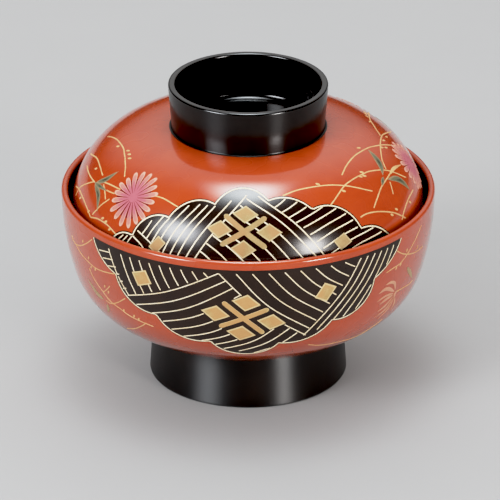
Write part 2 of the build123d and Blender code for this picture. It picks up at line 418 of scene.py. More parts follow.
def coatPiece(name, node, start, heading, runs, side, finish, body, step=1.4, segments=288):
    # A coat: the face line, and the same line moved into the wood by the coat's thickness, make a closed
    # section that is turned about Z, x = r sin a and y = -r cos a
    at = turnedLine(start, heading, runs, side)
    radius, height, outR, outZ = at(stations(runs, step))
    deepR = np.maximum(radius - size.coat * outR, 0)
    deepR[radius < 1e-6] = 0
    sectionR = np.concatenate([np.maximum(radius, 0), deepR[::-1]])
    sectionZ = np.concatenate([height, (height - size.coat * outZ)[::-1]])
    angle = np.linspace(0, 2 * np.pi, segments, endpoint=False)[:, None]
    flatZ = np.broadcast_to(sectionZ, (segments, len(sectionZ)))
    points = np.stack([sectionR * np.sin(angle), -sectionR * np.cos(angle), flatZ], -1)
    index = np.arange(points.size // 3).reshape(points.shape[:2])
    ahead = np.roll(index, -1, axis=0)
    quads = np.stack([index, ahead, np.roll(ahead, -1, axis=1), np.roll(index, -1, axis=1)], -1)
    piece = putPiece(name, points.reshape(-1, 3), quads.reshape(-1, 4).tolist(), finish, body)
    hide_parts(node)


def arc(radius, turn):
    return radius * math.radians(abs(turn)), turn


def closingCurves(across, along, firstLean, lastLean):
    # Radii of two arcs that run on from one another, go from one lean to the other to level,
    # and cover a given distance across and along the axis
    first = math.radians(firstLean)
    last = math.radians(lastLean)
    firstAcross = math.cos(first) - math.cos(last)
    firstAlong = math.sin(last) - math.sin(first)
    secondAcross = math.cos(last)
    secondAlong = 1 - math.sin(last)
    scale = firstAcross * secondAlong - secondAcross * firstAlong
    firstCurve = (across * secondAlong - secondAcross * along) / scale
    return firstCurve, (firstAcross * along - firstAlong * across) / scale


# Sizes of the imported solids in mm, and what follows from them
size = Look(
    coat=0.3, lip=2.2,
    sideCurve=88.6, sideTurn=16.4, bellyCurve=25.2, bellyTurn=39.4, baseFlat=4.6,
    insideSideCurve=80.0, floorThickness=4.2,
    footHeight=17.1, footTop=31.1, footBottom=32.2, footWall=3.8, footEdge=1.0, footCorner=0.3,
    lidEdge=2.0, skirt=5.1, shoulderCurve=28.1, shoulderTurn=76.5, crownLedge=0.9, crownThickness=3.4,
    gripBase=24.7, gripTop=25.85, gripWall=2.4, gripEdge=0.7, gripFillet=0.5,
    gripSeam=25.5, gripHollowFillet=2.0,
)
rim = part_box("bowl_outside_lacquer")[1].x / mm
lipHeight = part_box("bowl_outside_lacquer")[1].z / mm - size.lip / 2
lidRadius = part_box("lid_outside_lacquer")[1].x / mm
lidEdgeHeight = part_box("lid_outside_lacquer")[0].z / mm + size.lidEdge / 2
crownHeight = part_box("lid_outside_lacquer")[1].z / mm
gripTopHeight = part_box("grip_lacquer")[1].z / mm

bellyLean = size.sideTurn + size.bellyTurn
baseTurn = 90 - bellyLean
sideLean = math.radians(size.sideTurn)
bellyEnd = rim - size.sideCurve * (1 - math.cos(sideLean))
bellyEnd -= size.bellyCurve * (math.cos(sideLean) - math.cos(math.radians(bellyLean)))
baseCurve = (bellyEnd - size.baseFlat) / math.cos(math.radians(bellyLean))


def baseLean(radius):
    # Slope of the underside, in degrees, where its arc reaches a radius
    return math.degrees(math.asin((radius - size.baseFlat) / baseCurve))


def underside(radius):
    # Height of the underside, whose arc meets the foot's seam
    fall = math.cos(math.radians(baseLean(size.footTop))) - math.cos(math.radians(baseLean(radius)))
    return size.footHeight + baseCurve * fall


sideRuns = [arc(size.sideCurve, -size.sideTurn), arc(size.bellyCurve, -size.bellyTurn)]
sideRuns.append(arc(baseCurve, baseLean(size.footTop) - baseTurn))
innerRim = rim - size.lip
bowlSide = turnedLine((rim, lipHeight), -90, sideRuns)
lipRun = arc(size.lip / 2, -180)
coatPiece("bowl_vermilion_coat", "bowl_outside_lacquer", (innerRim, lipHeight), 90, [lipRun, *sideRuns], 1,
          "vermilion", "bowl")

insideAcross = innerRim - size.insideSideCurve * (1 - math.cos(sideLean)) - size.baseFlat
insideAlong = lipHeight - size.insideSideCurve * math.sin(sideLean)
insideAlong -= underside(size.baseFlat) + size.floorThickness
insideBelly, insideBase = closingCurves(insideAcross, insideAlong, size.sideTurn, bellyLean)
insideRuns = [
    arc(size.insideSideCurve, -size.sideTurn),
    arc(insideBelly, -size.bellyTurn),
    arc(insideBase, -baseTurn),
    (size.baseFlat, 0.0),
]
coatPiece("bowl_black_lining", "bowl_inside_lacquer", (innerRim, lipHeight), -90, insideRuns, -1,
          "black", "bowl")

footInner = size.footTop - size.footWall
footLean = baseLean(footInner)
footCorners = [
    (size.footTop, size.footHeight),
    (size.footBottom, 0),
    (footInner, 0),
    (footInner, underside(footInner)),
    (footInner - math.cos(math.radians(footLean)), underside(footInner) - math.sin(math.radians(footLean))),
]
footHeading, footRuns = filletRuns(footCorners, [size.footEdge, size.footEdge, size.footCorner])
lastCut = 1 - footRuns[-1][0]
footRuns[-1] = (baseCurve * math.radians(footLean) - lastCut, -footLean)
footRuns.append((size.baseFlat, 0.0))
coatPiece("foot_black_coat", "foot_lacquer", footCorners[0], footHeading, footRuns, 1,
          "footBlack", "bowl")

shoulderLean = math.radians(size.shoulderTurn)
crownFlat = size.gripSeam + size.crownLedge
crownTurn = 90 - size.shoulderTurn
crownReach = lidRadius - size.shoulderCurve * (1 - math.cos(shoulderLean)) - crownFlat
domeRuns = [
    (size.crownLedge, 0.0),
    arc(crownReach / math.cos(shoulderLean), -crownTurn),
    arc(size.shoulderCurve, -size.shoulderTurn),
    (size.skirt, 0.0),
]
domeStart = (size.gripSeam, crownHeight)
lidTop = turnedLine(domeStart, 0, domeRuns)
edgeRun = arc(size.lidEdge / 2, -180)
coatPiece("lid_vermilion_coat", "lid_outside_lacquer", domeStart, 0, [*domeRuns, edgeRun], 1,
          "vermilion", "lid", step=1.2)

innerEdge = lidRadius - size.lidEdge
underAlong = crownHeight - size.crownThickness - lidEdgeHeight - size.skirt
underShoulder, underCrown = closingCurves(innerEdge - crownFlat, underAlong, 0, size.shoulderTurn)
underRuns = [
    (size.skirt, 0.0),
    arc(underShoulder, size.shoulderTurn),
    arc(underCrown, crownTurn),
    (crownFlat, 0.0),
]
coatPiece("lid_black_lining", "lid_inside_lacquer", (innerEdge, lidEdgeHeight), 90, underRuns, 1,
          "black", "lid")

gripCorners = [
    domeStart,
    (size.gripBase, crownHeight),
    (size.gripTop, gripTopHeight),
    (size.gripTop - size.gripWall, gripTopHeight),
    (size.gripBase - size.gripWall, crownHeight),
    (0, crownHeight),
]
gripRounds = [size.gripFillet, size.gripEdge, size.gripEdge, size.gripHollowFillet]
gripHeading, gripRuns = filletRuns(gripCorners, gripRounds)
coatPiece("grip_black_coat", "grip_lacquer", gripCorners[0], gripHeading, gripRuns, -1,
          "gripBlack", "lid")

for woodNode in ("bowl_core", "foot_ring", "lid_core", "grip_ring"):
    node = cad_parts[woodNode]
    node.data.materials.clear()
    node.data.materials.append(finishes["wood"])
print("turned coats done")


# Drawing on the turned surfaces. A spot is (degrees round from the front, mm along the turned line).

relief = Look(
    sink=0.08,  # mm that every painted shape reaches into the lacquer
    panel=0.05,  # heights over the lacquer
    line=0.12, square=0.16, grass=0.07, petal=0.1,
    leafDome=0.04,  # what a leaf or dewdrop gains towards its middle
    petalDome=0.05,
)
bothSides = (0, 180)  # turns of ornament drawn at the front and at the back


def onSurface(line, spots, lift, spin):
    # The turned line's place at each spot, raised by lift along its normal and turned to its azimuth
    radius, height, outR, outZ = line(spots[..., 1])
    angle = np.radians(spots[..., 0] + spin)
    reach = radius + lift * outR
    return np.stack([reach * np.sin(angle), -reach * np.cos(angle), height + lift * outZ], -1)


def perDegree(line, spots):
    # Size of a step of one degree and of one mm at each spot, in mm
    width = np.radians(line(spots[..., 1])[0])
    return np.stack([width, np.ones_like(width)], -1)


def tube(rings, along, edge):
    # Rings joined in order and closed round, with a flat end on the first and the last
    count, around = rings.shape[:2]
    index = np.arange(count * around).reshape(count, around)
    ahead = np.roll(index, -1, axis=1)
    quads = np.stack([index[:-1], ahead[:-1], ahead[1:], index[1:]], -1).reshape(-1, 4)
    faces = quads.tolist() + [index[0, ::-1].tolist(), index[-1].tolist()]
    tags = [np.broadcast_to(values, (count, around)).ravel() for values in (along, edge)]
    return rings.reshape(-1, 3), faces, tags


def smoothLine(points, count):
    # Cubic pieces through the points; the slope at a point is half the step between its neighbours
    points = np.array(points, float)
    padded = np.concatenate([2 * points[:1] - points[1:2], points, 2 * points[-1:] - points[-2:-1]])
    slopes = (padded[2:] - padded[:-2]) / 2
    place = np.linspace(0, len(points) - 1, count)
    piece = np.clip(place.astype(int), 0, len(points) - 2)
    t = (place - piece)[:, None]
    first = points[piece] * (1 + 2 * t) * (1 - t) ** 2 + slopes[piece] * t * (1 - t) ** 2
    return first + points[piece + 1] * t * t * (3 - 2 * t) + slopes[piece + 1] * t * t * (t - 1)


def evenly(line, path, step, tip):
    # The path sampled again at even steps, and closer at its two ends
    scale = perDegree(line, path)
    moves = np.diff(path, axis=0) * (scale[:-1] + scale[1:]) / 2
    run = np.concatenate([[0], np.cumsum(np.hypot(moves[:, 0], moves[:, 1]))])
    close = np.array([0, 0.12, 0.45, 1]) * min(tip, run[-1] / 4)
    even = np.linspace(close[-1], run[-1] - close[-1], max(2, int(run[-1] / step)))
    marks = np.concatenate([close[:-1], even, run[-1] - close[-2::-1]])
    spots = np.stack([np.interp(marks, run, path[:, axis]) for axis in (0, 1)], -1)
    return spots, np.minimum(marks, run[-1] - marks)


def ribbon(line, path, width, lift, spin, step=1.2, plain=None, blunt=0.3, edgeFrom=0.8, endPart=0.12):
    # A low ribbon along a path, flat on top. Its width falls as a half circle at the ends, down to blunt.
    # With plain given, edges and ends are tagged, but not within plain mm of its middle.
    spots, fromEnd = evenly(line, path, step, width / 2)
    scale = perDegree(line, spots)
    run = np.gradient(spots, axis=0) * scale
    run /= np.hypot(run[:, 0], run[:, 1])[:, None]
    side = np.stack([-run[:, 1], run[:, 0]], -1) / scale
    part = np.clip(fromEnd / (width / 2), 0, 1)
    half = width / 2 * np.maximum(np.sqrt(1 - (1 - part) ** 2), blunt)
    across = np.array([-1, -0.6, 0.6, 1] if plain is None else [-1, -0.9, -0.68, 0.68, 0.9, 1])
    lifts = np.where(np.abs(across) == 1, -relief.sink, lift)
    rings = spots[:, None] + (half[:, None] * across)[..., None] * side[:, None]
    edge = np.zeros(rings.shape[:2])
    if plain is not None:
        edge += (np.abs(across) > edgeFrom) | (fromEnd[:, None] < endPart * width)
        edge *= (fromEnd.max() - fromEnd > plain)[:, None]
    return tube(onSurface(line, rings, lifts, spin), 0.5, edge)


def pad(line, centre, outline, lift, spin, shares=(1, 0.9, 0.5), under=(0.5,), along=0.5, dome=0.0):
    # A patch on the surface: its outline, in mm east and down from the centre, is drawn in to the centre
    # ring by ring. It rises by dome towards the middle, and its underside lies in the lacquer.
    centre = np.array(centre, float)
    inmost = [0.01]
    shares = np.concatenate([inmost, under, [1.0], shares, inmost])
    low = len(under) + 2
    lifts = lift + dome * (1 - shares ** 2)
    lifts[:low] = -relief.sink
    offsets = shares[:, None, None] * outline
    spots = centre + offsets / perDegree(line, centre)
    return tube(onSurface(line, spots, lifts[:, None], spin), along, shares[:, None])


def drawn(name, shapes, finish, body):
    # Many small shapes as one piece
    points, faces, tags = zip(*shapes)
    along, edge = (np.concatenate(values) for values in zip(*tags))
    joined = []
    start = 0
    for shapePoints, shapeFaces in zip(points, faces):
        joined += [[start + corner for corner in face] for face in shapeFaces]
        start += len(shapePoints)
    putPiece(name, np.concatenate(points), joined, finish, body, {"along": along, "edge": edge})


def scallops(notches, bulges, perNotch=26):
    # Arcs from notch to notch. Each stands out from its chord by bulge times the chord, on the left.
    notches = np.array(notches, float)
    t = np.linspace(-1, 1, perNotch, endpoint=False)
    pieces = []
    for start, end, bulge in zip(notches[:-1], notches[1:], bulges):
        half = 2 * math.atan(2 * bulge)
        ahead = (np.sin(half * t) / math.sin(half) + 1) / 2
        out = (np.cos(half * t) - math.cos(half)) / (2 * math.sin(half))
        chord = end - start
        square = np.array([chord[1], -chord[0]])
        pieces.append(start + ahead[:, None] * chord + out[:, None] * square)
    return np.concatenate([*pieces, notches[-1:]])


def insideOf(polygon, spots):
    # Even-odd rule: a spot is inside if a line from it crosses the polygon an odd number of times
    x, y = spots[:, 0, None], spots[:, 1, None]
    x1, y1 = polygon.T
    x2, y2 = np.roll(polygon, -1, axis=0).T
    crosses = (y1 > y) != (y2 > y)
    reach = x1 + (y - y1) * (x2 - x1) / np.where(crosses, y2 - y1, 1)
    return (crosses & (x < reach)).sum(1) % 2 == 1


def runsOf(keep):
    # First index of every unbroken stretch that is kept, and the index after its last
    edges = np.flatnonzero(np.diff(np.concatenate([[0], keep.astype(int), [0]])))
    return edges.reshape(-1, 2)


def stripes(guides, count):
    # Lines between guide lines: each of a guide's points is shared out evenly from one guide to the next
    numbers = sorted(guides)
    points = np.array([guides[number] for number in numbers], float)
    flat = points.reshape(len(numbers), -1)
    each = [np.interp(np.arange(count), numbers, column) for column in flat.T]
    return np.stack(each, -1).reshape(count, -1, 2)


cloudLook = Look(
    samples=240,  # along a stripe; stretches of shortest or fewer are left out
    shortest=6, rings=44, underRings=12,
    crossing=0.006,  # mm by which the second arm of the cross lies over the first
    plain=0.6,  # share of its width, to each side of the crossing, where an arm has no edge
)


def cloud(body, line, design):
    # A cloud panel: a black patch with a scalloped outline, bands of gold lines, a crest of leaf squares
    # round a cross, and two loose squares. Lines stop at keepIn of the way to the outline, and at free
    # times the arms of the crest.
    look = cloudLook
    edgeLine = scallops(design.notches, design.bulges)
    outline = np.concatenate([edgeLine, smoothLine(design.closing, 60)])
    middle = np.array(design.middle, float)
    keep = middle + (outline - middle) * design.keepIn
    crest = design.crest
    crestMiddle = np.array(crest.middle, float)
    crestScale = perDegree(line, crestMiddle)
    arms = np.array([crest.armOne, crest.armTwo], float)
    paths = []
    for guides, count in design.bands:
        for points in stripes(guides, count):
            path = smoothLine(points, look.samples)
            held = insideOf(keep, path)
            if crest.free > 0:
                offset = np.linalg.solve(arms.T, ((path - crestMiddle) * crestScale).T).T
                held &= np.abs(offset).max(1) > crest.free
            paths += [path[a:b] for a, b in runsOf(held) if b - a > look.shortest]
    corners = np.array([(-1, -1), (1, -1), (1, 1), (-1, 1)], float)
    squares = []
    for way in corners:
        offset = crest.squareAt * way @ arms / crestScale
        squares.append((crestMiddle + offset, crest.squareHalf * corners @ arms))
    for spot, firstHalf, secondHalf in design.squares:
        squares.append((np.array(spot, float), corners @ np.array([firstHalf, secondHalf])))
    patch = (outline - middle) * perDegree(line, middle)
    run = np.gradient(patch[:len(edgeLine)], axis=0)
    out = np.stack([run[:, 1], -run[:, 0]], -1) / np.hypot(run[:, 0], run[:, 1])[:, None]
    patch[:len(edgeLine)] += (design.outlineWidth / 2 + design.margin) * out
    tops = np.linspace(1, 0.02, look.rings)
    unders = np.linspace(0.08, 0.92, look.underRings)
    panel, lines, leaf = [], [], []
    for spin in bothSides:
        panel.append(pad(line, middle, patch, relief.panel, spin, tops, unders))
        lines.append(ribbon(line, edgeLine, design.outlineWidth, relief.line, spin))
        lines += [ribbon(line, path, design.lineWidth, relief.line, spin) for path in paths]
        for spot, square in squares:
            leaf.append(pad(line, spot, subdivided(square), relief.square, spin, (1, 0.87, 0.78, 0.5)))
        for number, arm in enumerate(arms):
            path = crestMiddle + np.linspace(-1, 1, 60)[:, None] * arm / crestScale
            lift = relief.square + look.crossing * number
            plain = look.plain * crest.armWidth
            leaf.append(ribbon(line, path, crest.armWidth, lift, spin, 0.25, plain))
    drawn(body + "_cloud_panel", panel, body + "Panel", body)
    drawn(body + "_gold_lines", lines, "line", body)
    drawn(body + "_gold_squares", leaf, body + "LeafGold", body)


def subdivided(corners, count=5):
    # A polygon with count points along each side
    t = np.arange(count)[:, None] / count
    sides = [start + (end - start) * t for start, end in zip(corners, np.roll(corners, -1, axis=0))]
    return np.concatenate(sides)


lidCloud = Look(
    middle=(1, 37),
    notches=[(-51.5, 48.2), (-48.4, 41), (-41.1, 39), (-28.8, 30.2), (-12.8, 23.5), (7.9, 21.9),
                (24.2, 26.7), (40.7, 36.5), (51.3, 41), (55, 48.2)],
    bulges=[0.08, 0.13, 0.22, 0.21, 0.28, 0.16, 0.22, 0.12, 0.1],
    closing=[(54, 48.4), (0, 48.4), (-50.5, 48.4)],
    keepIn=0.975, outlineWidth=0.62, margin=0.25, lineWidth=0.58,
    bands=[
        ({0: [(-37.5, 37.6), (-36.2, 35.2), (-35, 32.4)], 3: [(-31, 40), (-28, 33), (-22.6, 25)]}, 4),
        ({0: [(-31, 48), (-25.5, 34), (-18.5, 24)], 2: [(-26, 48), (-19.8, 34), (-12.5, 24)],
          4: [(-21, 48), (-12.7, 34), (-0.6, 19.6)]}, 5),
        ({0: [(-39.9, 36.7), (-34.5, 39), (-29.2, 42)], 1: [(-41.1, 39), (-37, 41), (-31, 46)]}, 2),
        ({0: [(-48, 43.2), (-46.5, 41.5), (-45, 39.8)], 2: [(-43.5, 43.2), (-42.4, 41), (-41.3, 39.2)]}, 3),
        ({0: [(-15.8, 39), (-13, 40.9), (-5, 48)], 4: [(-8.2, 28.2), (5, 37), (14, 48)],
          7: [(-0.6, 20.9), (12.9, 30.5), (27.5, 48)]}, 8),
        ({0: [(4, 20), (17.5, 31.2), (29.5, 48)]}, 1),
        ({0: [(9.8, 24.5), (12.4, 23.2), (16, 21)], 4: [(19.3, 32), (26, 30), (33.5, 28)],
          9: [(29, 44.5), (38, 41.2), (50, 40)]}, 10),
    ],
    crest=Look(
        middle=(-1.3, 32), armOne=(7.2, -4.5), armTwo=(6.7, 5.3), armWidth=1.85,
        squareAt=0.57, squareHalf=0.3, free=0,
    ),
    squares=[((-31, 39.5), (1.5, -2.1), (1.5, 0.9)), ((32.5, 38.7), (2.2, -0.9), (1.15, 1.7))],
)

bowlCloud = Look(
    middle=(-1, 14),
    notches=[(53.7, 1.5), (42.1, 11.8), (27.6, 23.4), (10.1, 30.4), (-12.5, 29.7), (-30.3, 21.9),
                (-44.7, 11.1), (-54.5, 1.5)],
    bulges=[0.09, 0.25, 0.16, 0.3, 0.19, 0.21, 0.12],
    closing=[(-54, 1.4), (0, 1.5), (53, 1.4)],
    keepIn=0.98, outlineWidth=0.48, margin=0.2, lineWidth=0.48,
    bands=[
        ({0: [(-53, 5.2), (-50, 4.6), (-46.8, 4)], 5: [(-44.5, 16), (-42.5, 15.6), (-40.8, 15)]}, 6),
        ({0: [(-47.2, 2.7), (-44.2, 10.6), (-40.2, 17.6)]}, 1),
        ({0: [(-42, 2.9), (-39.8, 9.6), (-37, 16.4)], 8: [(-13.5, 2.9), (-13, 3.6), (-12.2, 4.4)]}, 9),
        ({0: [(-41, 17.8), (-25.6, 11.9), (-8.9, 2.8)], 5: [(-24, 30), (-10, 24.7), (2.5, 15)],
          10: [(2, 36), (9.5, 31.8), (16, 26.4)]}, 11),
        ({0: [(-8.9, 2.8), (3, 15.6), (19, 28)]}, 1),
        ({0: [(-3.6, 2.7), (6.1, 14.5), (19.9, 25.2)], 7: [(30.5, 2.5), (32.2, 3.7), (34.1, 4.9)]}, 8),
        ({0: [(36.3, 2.5), (29.7, 13.6), (18.2, 28)], 5: [(50, 2.5), (46.5, 9.5), (40.5, 20)]}, 6),
    ],
    crest=Look(
        middle=(-1.4, 19.3), armOne=(7.9, -3.6), armTwo=(6.5, 6.2), armWidth=1.75,
        squareAt=0.62, squareHalf=0.32, free=0.98,
    ),
    squares=[((-34.2, 9.1), (2.7, -1.05), (1, 2.25)), ((24.3, 11.8), (2.1, 1.1), (-1.6, 2.5))],
)

cloud("lid", lidTop, lidCloud)
cloud("bowl", bowlSide, bowlCloud)
print("cloud panels done")


# Flowers and grasses

blossomLook = Look(
    petals=18, heart=1.3,
    ground=0.74,  # the dark ground's share of the radius
    groundLift=0.03,
    uneven=0.04,  # share by which the petals' lengths vary
    wave=2.4,  # radians from petal to petal in that wave
    pivot=0.55,  # share of a petal's length at its patch's centre
    heartOver=0.3,  # mm by which the heart covers the petals' roots
    heartLift=0.04, heartDome=0.03,
)


def petalOutline(root, tip, width, angle, count=9):
    # Narrow at the root, widest near the round tip: half width = width / 2 (0.18 + 0.82 t) sqrt(1 - t^6),
    # with t closer spaced towards the tip
    t = np.linspace(0, 1, count)
    t = 1 - (1 - t) ** 1.7
    half = width / 2 * (0.18 + 0.82 * t) * np.sqrt(1 - t ** 6)
    along = (t - blossomLook.pivot) * (tip - root)
    side = np.concatenate([half, -half[-2::-1]])
    ahead = np.concatenate([along, along[-2::-1]])
    share = np.concatenate([t, t[-2::-1]])
    east = ahead * math.sin(angle) + side * math.cos(angle)
    down = -ahead * math.cos(angle) + side * math.sin(angle)
    return np.stack([east, down], -1), share


def blossom(line, flower, spin):
    # Petals round a small centre, each a domed patch, on a dark ground; their lengths vary in a slow wave
    look = blossomLook
    centre = np.array(flower.centre, float)
    scale = perDegree(line, centre)
    ring = np.linspace(0, 2 * np.pi, 24, endpoint=False)
    circle = np.stack([np.sin(ring), np.cos(ring)], -1)
    ground = look.ground * flower.radius * circle
    shapes = [pad(line, centre, ground, look.groundLift, spin, (1, 0.7, 0.4), along=-1.0)]
    turn = flower.turn
    angles = np.radians(np.linspace(turn, turn + 360, look.petals, endpoint=False))
    for number, angle in enumerate(angles):
        length = 1 + flower.stretch * math.cos(2 * angle)
        length += look.uneven * math.sin(number * look.wave)
        tip = flower.radius * length
        outline, share = petalOutline(look.heart, tip, flower.width, angle)
        reach = look.heart + look.pivot * (tip - look.heart)
        spot = centre + reach * np.array([math.sin(angle), -math.cos(angle)]) / scale
        shapes.append(pad(line, spot, outline, relief.petal, spin, (1, 0.8, 0.4),
                          along=share[None], dome=relief.petalDome))
    heart = (look.heart + look.heartOver) * circle
    lift = relief.petal + look.heartLift
    shapes.append(pad(line, centre, heart, lift, spin, (1, 0.6), along=0.0, dome=look.heartDome))
    return shapes


def blade(line, points, width, spin, count=13):
    # A leaf: a smooth midline, widened to each side by half the width times sin(pi t^0.85)^0.9
    mid = smoothLine(points, count)
    centre = mid[count // 2]
    scale = perDegree(line, centre)
    flat = (mid - centre) * scale
    run = np.gradient(flat, axis=0)
    run /= np.hypot(run[:, 0], run[:, 1])[:, None]
    t = np.linspace(0, 1, count)
    half = width / 2 * np.clip(np.sin(np.pi * t ** 0.85), 0, 1) ** 0.9
    side = np.stack([-run[:, 1], run[:, 0]], -1) * half[:, None]
    outline = np.concatenate([flat + side, (flat - side)[-2:0:-1]])
    return pad(line, centre, outline, relief.grass, spin, (1, 0.75, 0.4), dome=relief.leafDome)


def dewdrop(line, spot, size, tilt, spin):
    # A short dab, an ellipse half as wide as it is long, tilted up from the level
    ring = np.linspace(0, 2 * np.pi, 12, endpoint=False)
    ahead = np.array([math.cos(math.radians(tilt)), -math.sin(math.radians(tilt))])
    side = np.array([-ahead[1], ahead[0]])
    dab = size / 2 * (np.cos(ring)[:, None] * ahead + 0.5 * np.sin(ring)[:, None] * side)
    return pad(line, spot, dab, relief.grass, spin, (1, 0.6), dome=relief.leafDome)


sprayLook = Look(stemWidth=0.6, dewSize=1.6, flowers=[], leaves=[])  # unless a design says otherwise


def spray(line, designs):
    # Each design is a group of flowers, grass stems, leaves and dew, with the turns it is drawn at
    petals, grass, leaves = [], [], []
    for design in designs:
        design = Look(sprayLook, **design)
        for spin in design.spins:
            for flower in design.flowers:
                petals += blossom(line, flower, spin)
            for stem in design.stems:
                path = smoothLine(stem, 24 * len(stem))
                grass.append(ribbon(line, path, design.stemWidth, relief.grass, spin, step=1.4))
            dew = (design.dewSize, design.dewTilt, spin)
            grass += [dewdrop(line, spot, *dew) for spot in design.dew]
            leaves += [blade(line, points, width, spin) for points, width in design.leaves]
    return petals, grass, leaves


lidLeftSpray = Look(
    spins=bothSides,
    flowers=[Look(centre=(-46.6, 27.7), radius=9.4, width=2.35, turn=4, stretch=0.06)],
    stems=[
        [(-38.1, 24.6), (-33.7, 24.6), (-26.7, 26.2)],
        [(-57, 23.1), (-61.2, 20.2), (-66.8, 18)],
        [(-68.2, 29), (-61.2, 27.7), (-54.5, 27.2)],
        [(-61.1, 29.9), (-56, 29.3)],
        [(-57.1, 31.6), (-59.9, 34.7), (-61.4, 37), (-63.2, 39.5)],
        [(-64.8, 29), (-61.8, 30.4), (-59, 32.5)],
    ],
    dewTilt=28,
    dew=[(-70.3, 15.8), (-67, 16.3), (-64.1, 17.2), (-56.7, 38.2), (-54.6, 38.6)],
    leaves=[([(-69.5, 30.3), (-65.2, 27.3), (-62.2, 22.7)], 2.0),
               ([(-70.1, 30.7), (-64, 32.8), (-60.6, 37.4)], 2.0),
               ([(-70.6, 30.7), (-65.9, 30.3), (-60.4, 29.9)], 1.3)],
)
lidEdgeGrass = Look(
    spins=(0,),
    stems=[
        [(-66.8, 18), (-74.6, 16.5), (-83.8, 17.1), (-90.1, 18.9), (-95, 21.3)],
        [(-68.7, 27.2), (-75, 26.1), (-82.5, 26), (-91.6, 28.6)],
        [(-70.6, 30.7), (-78, 30.8), (-85.4, 30.7)],
        [(-70.9, 30.5), (-75.6, 33.4), (-79.8, 36.7), (-81.7, 40.5)],
        [(-85.8, 38.9), (-79.6, 37.4), (-72.7, 37.8), (-67.3, 39.1), (-63.8, 40.5)],
        [(-63.8, 40.5), (-59, 39.3), (-53.5, 39.3), (-48.3, 40.8)],
    ],
    dewTilt=35,
    dew=[(-76.3, 27.7), (-78.8, 17.8), (-51.8, 40.2), (-75.6, 38.7), (-66, 39.4)],
)
lidRightSpray = Look(
    spins=(0,),
    flowers=[Look(centre=(87.5, 31), radius=8.7, width=2.4, turn=0, stretch=0.05)],
    stems=[
        [(44.1, 17.9), (51, 15.3), (60.6, 13.9), (70.9, 14.8), (77.3, 16.7), (83.4, 19.5), (90.4, 24.2)],
        [(31.3, 26.8), (40.6, 22.1), (47.3, 20.8), (53.6, 20.7), (59.1, 21.3), (67.4, 24.4), (75.6, 31)],
        [(14.1, 20.4), (21.9, 19), (32.9, 19.4), (42.4, 21.9), (52.5, 27.1)],
        [(67.6, 24), (71.4, 20.8), (80.2, 18.3), (89.1, 18.1), (95.1, 19.6), (103.6, 23.8)],
        [(116.1, 18.5), (105.8, 16), (96.3, 16.4), (90.3, 17.8)],
        [(49.1, 32.1), (52.7, 29.9), (58.6, 27.3), (67.6, 25.9)],
        [(64.1, 27.8), (61.7, 31.6)],
        [(41.8, 33.1), (45, 32.8), (49.5, 33.5), (54, 35), (58.5, 37.1), (63.7, 40.8)],
        [(61, 40.4), (64, 38.3), (69.2, 36.4), (75.9, 35.8)],
    ],
    dewTilt=-35,
    dew=[(68.4, 12.8), (102.8, 15.3), (92.7, 20.2), (87.1, 19), (79.7, 19), (81.9, 20.3), (54.3, 20),
            (51.9, 21.1), (54, 21.5), (30.7, 18.4), (40, 23.3), (59.7, 36.2), (56.4, 36.9), (69.6, 37.6)],
    leaves=[([(71, 15.4), (68.6, 19.5), (66.2, 22.3), (63, 24.8)], 2.5),
               ([(63.8, 26.7), (68.9, 28.6), (71.9, 31.7), (73.1, 34.8)], 2.4),
               ([(62.6, 25.2), (60.5, 26.2), (58.6, 27.3)], 1.3)],
)
lidGoldSprout = ([(66.6, 26), (72.5, 25.8), (79.3, 27.3)], 1.2)
bowlSpray = Look(
    spins=bothSides,
    stems=[
        [(-70.2, 7.6), (-69.6, 8.9), (-67.2, 9.5), (-63.5, 8.4), (-59.1, 5.7), (-55.4, 2.7)],
        [(-67.2, 9.5), (-63.7, 11.3), (-56.1, 12.8), (-51.7, 12.6), (-45.4, 11.4)],
        [(-59.2, 14.7), (-57.1, 18), (-53.5, 20.9), (-50.2, 23.6), (-45.6, 25), (-41.4, 26.5),
         (-32.5, 27.8)],
        [(-53.3, 21.4), (-50.7, 19.3), (-48.5, 17)],
        [(-52.8, 24.4), (-50.2, 24.6), (-46.3, 22.6), (-42.2, 19.5)],
        [(-47.8, 35.3), (-42.4, 32.7), (-37.7, 29.3), (-35.2, 27.1)],
        [(47.5, 11.7), (50.6, 11.2), (54.1, 10.9), (57.5, 9.3), (60.8, 7), (66.7, 2.5)],
        [(51.7, 5.2), (54.4, 7.3), (57.8, 9), (61.5, 10.3), (65.2, 11.1), (70, 11.5)],
        [(54.8, 21.9), (60, 22.4), (64.3, 23.1), (66.7, 22.8)],
        [(21.1, 33.8), (27.1, 36.2), (34.4, 37.3), (43.5, 38.6), (48.1, 36.6), (53.6, 33.3)],
    ],
    stemWidth=0.46, dewSize=1.3, dewTilt=62,
    dew=[(-61.2, 5.8), (-58.4, 10.6), (-57.6, 13.7), (-55.2, 13.5), (-51.4, 18.3), (-50, 20),
            (-44.1, 24.9), (-39.8, 25.7), (-38.1, 26.4), (57.4, 7.4), (54.5, 11.4), (52.3, 11.9),
            (64.7, 9.5)],
    leaves=[([(59, 14.3), (61.9, 17.5), (65.4, 21.3)], 1.5),
               ([(-54.1, 24.5), (-58, 23.5), (-61.9, 20)], 2.0),
               ([(-52.5, 25.7), (-53.2, 28), (-54.7, 30.5)], 1.3)],
)
